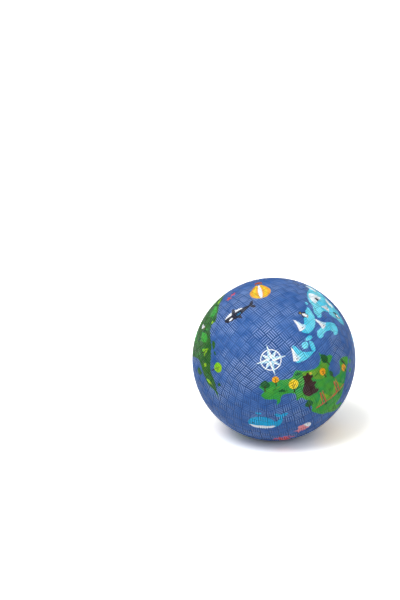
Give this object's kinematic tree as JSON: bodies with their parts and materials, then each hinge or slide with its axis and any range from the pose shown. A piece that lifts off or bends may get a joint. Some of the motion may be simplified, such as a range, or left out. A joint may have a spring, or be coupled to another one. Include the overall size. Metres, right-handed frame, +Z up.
{
  "type": "inflatable rubber play ball",
  "caption": "Hand-sized hollow rubber ball with a basket-weave texture, a printed world map and a self-sealing valve at the back.",
  "frame": {"origin": "centre of the small flat that the ball rests on", "axes": "+Z up, +Y outward through the valve, -Y the ball's front, +X to the right seen from the front"},
  "size_m": [0.127, 0.127, 0.1267],
  "materials": {
    "printed_rubber": "satin moulded rubber, printed in several colours",
    "patch_rubber": "matte sheet rubber",
    "housing_rubber": "satin moulded rubber",
    "core_rubber": "satin moulded rubber"
  },
  "bodies": {
    "root": {"ball_wall": "printed_rubber", "valve_patch": "patch_rubber", "valve_housing": "housing_rubber", "valve_core": "core_rubber"}
  },
  "joints": []
}
